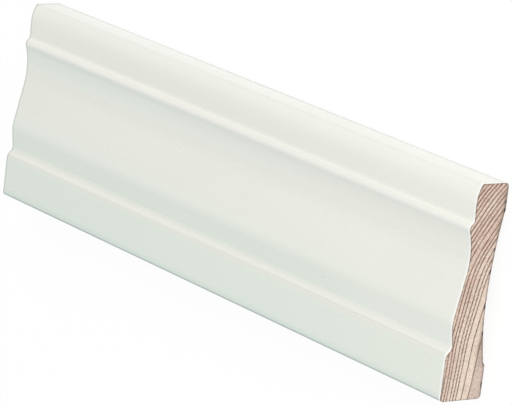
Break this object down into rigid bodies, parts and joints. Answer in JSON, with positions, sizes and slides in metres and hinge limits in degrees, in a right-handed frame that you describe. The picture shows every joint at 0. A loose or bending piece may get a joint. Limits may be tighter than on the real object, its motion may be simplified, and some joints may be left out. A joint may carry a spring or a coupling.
{
  "type": "architrave moulding",
  "caption": "Length of white-painted softwood architrave: an ogee face between a plain fascia and a beaded round edge, with a hollowed back that beds on a wall.",
  "frame": {"origin": "middle of the length and of the width, in the plane of the two back lands", "axes": "+X along the length, +Y across the board towards the thin edge, +Z out of the moulded face"},
  "size_m": [0.25, 0.069, 0.016],
  "materials": {
    "painted_softwood": "satin white paint on the moulded face and both edges, bare softwood on the sawn ends and the back"
  },
  "bodies": {
    "root": {"architrave": "painted_softwood"}
  },
  "joints": []
}
